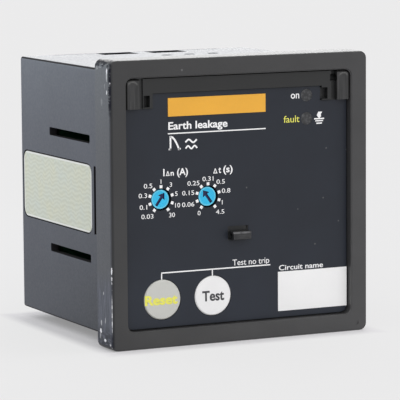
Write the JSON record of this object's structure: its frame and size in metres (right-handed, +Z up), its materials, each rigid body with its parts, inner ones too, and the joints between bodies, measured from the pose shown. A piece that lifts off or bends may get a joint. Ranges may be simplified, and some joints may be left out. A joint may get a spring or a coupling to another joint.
{
  "type": "protection relay",
  "caption": "Flush-mount earth-leakage protection relay: square frame, printed face with setting dials, reset and test buttons, lamps, vented housing and rear screw terminals.",
  "frame": {"origin": "middle of the base of the whole relay's box: on the centre line of the square front, at the bottom of the front frame, half way along the depth", "axes": "+Z up, +X to the right as seen from the front, +Y into the depth, away from the viewer of the front"},
  "size_m": [0.072, 0.0636, 0.072],
  "materials": {
    "frame_plastic": "fine-grained dark grey moulding with rubbed edges",
    "plate_plastic": "fine-grained dark grey moulding",
    "face_film": "satin blue-grey printed film",
    "band_print": "flat orange print",
    "note_print": "flat white writing field",
    "white_print": "white screen print",
    "yellow_print": "yellow screen print",
    "dark_print": "dark screen print",
    "housing_plastic": "satin blue-grey moulding with light scuffs",
    "label_film": "pale silvery label with a fine wavy security pattern",
    "dial_blue": "bright blue moulding",
    "reset_cap": "light grey cap",
    "test_cap": "white cap",
    "led_lens": "smoked unlit lens",
    "holder_plastic": "natural white moulding",
    "switch_plastic": "grey moulding",
    "part_black": "black moulding",
    "board_green": "green solder resist on glass-fibre board",
    "relay_plastic": "dark blue sealed cover",
    "core_steel": "stacked steel sheets, varnished",
    "coil_copper": "varnished copper wire",
    "capacitor_sleeve": "dark sleeve on an aluminium can",
    "filter_yellow": "yellow moulded box",
    "terminal_plastic": "black moulding",
    "terminal_steel": "zinc-plated screw",
    "screw_steel": "zinc-plated screw"
  },
  "bodies": {
    "relay_body": {"front_frame": "frame_plastic", "face_plate": "plate_plastic", "face_film": "face_film", "orange_band": "band_print", "note_field": "note_print", "housing": "housing_plastic", "rating_label": "label_film", "current_switch": "switch_plastic", "time_switch": "switch_plastic", "reset_switch": "part_black", "test_switch": "part_black", "on_led": "led_lens", "fault_led": "led_lens", "on_led_holder": "holder_plastic", "fault_led_holder": "holder_plastic", "front_board": "board_green", "main_board": "board_green", "rear_board": "board_green", "board_screw_1": "screw_steel", "board_screw_2": "screw_steel", "board_screw_3": "screw_steel", "board_screw_4": "screw_steel", "control_chip": "part_black", "front_connector": "part_black", "rear_connector": "part_black", "output_relay_1": "relay_plastic", "output_relay_2": "relay_plastic", "transformer_core": "core_steel", "transformer_coil": "coil_copper", "supply_capacitor_1": "capacitor_sleeve", "supply_capacitor_2": "capacitor_sleeve", "filter_capacitor": "filter_yellow", "upper_terminal_block": "terminal_plastic", "lower_terminal_block": "terminal_plastic", "terminal_screw_1": "terminal_steel", "terminal_screw_2": "terminal_steel", "terminal_screw_3": "terminal_steel", "terminal_screw_4": "terminal_steel", "terminal_screw_5": "terminal_steel", "terminal_screw_6": "terminal_steel", "terminal_screw_7": "terminal_steel", "terminal_screw_8": "terminal_steel", "terminal_screw_9": "terminal_steel", "terminal_screw_10": "terminal_steel", "terminal_screw_11": "terminal_steel", "terminal_screw_12": "terminal_steel"},
    "current_dial": {"current_dial": "dial_blue"},
    "time_dial": {"time_dial": "dial_blue"},
    "reset_button": {"reset_button": "reset_cap"},
    "test_button": {"test_button": "test_cap"}
  },
  "joints": [
    {"name": "current_dial_turn", "type": "hinge", "parent": "relay_body", "child": "current_dial", "pos_m": [-0.02135, -0.02915, 0.03695], "axis": [0, 1, 0], "range_deg": [-180, 108]},
    {"name": "time_dial_turn", "type": "hinge", "parent": "relay_body", "child": "time_dial", "pos_m": [-0.00835, -0.02915, 0.03695], "axis": [0, 1, 0], "range_deg": [-108, 180]},
    {"name": "reset_press", "type": "slide", "parent": "relay_body", "child": "reset_button", "axis": [0, 1, 0], "range_m": [0, 0.0008], "stiffness_N_per_m": 300},
    {"name": "test_press", "type": "slide", "parent": "relay_body", "child": "test_button", "axis": [0, 1, 0], "range_m": [0, 0.0008], "stiffness_N_per_m": 300}
  ]
}
